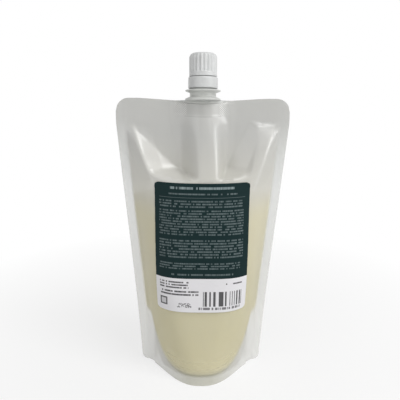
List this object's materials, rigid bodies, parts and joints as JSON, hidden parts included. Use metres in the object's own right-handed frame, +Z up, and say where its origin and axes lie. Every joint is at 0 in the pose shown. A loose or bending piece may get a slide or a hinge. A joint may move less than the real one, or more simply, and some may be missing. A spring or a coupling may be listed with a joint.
{
  "type": "shampoo refill pouch",
  "caption": "Spouted stand-up refill pouch of frosted film, full of liquid soap, with a label on its face, a welded spout, a tamper band and a ribbed screw cap.",
  "frame": {"origin": "on the ground at the middle of the foot, halfway between the two faces", "axes": "+Z up, -Y out of the labelled face, +X to the right as the label is read"},
  "size_m": [0.12, 0.0664, 0.2328],
  "materials": {
    "film": "frosted translucent film over pale yellow liquid",
    "label_paper": "matt dark green print over a white foot",
    "spout_plastic": "natural milky polyethylene",
    "band_plastic": "white moulded plastic",
    "cap_plastic": "white moulded plastic"
  },
  "bodies": {
    "pouch_body": {"pouch": "film", "label": "label_paper", "spout": "spout_plastic"},
    "band": {"tamper_band": "band_plastic"},
    "cap": {"screw_cap": "cap_plastic"}
  },
  "joints": [
    {"name": "cap_turn", "type": "hinge", "parent": "pouch_body", "child": "band", "pos_m": [0, 0.00614, 0.2007], "axis": [0, 0.1392, 0.9903], "range_deg": [0, 720]},
    {"name": "cap_lift", "type": "slide", "parent": "band", "child": "cap", "axis": [0, 0.1392, 0.9903], "range_m": [0, 0.007]}
  ],
  "couplings": [
    {"joint": "cap_lift", "follows": "cap_turn", "m_per_rad": 0.00055704}
  ]
}
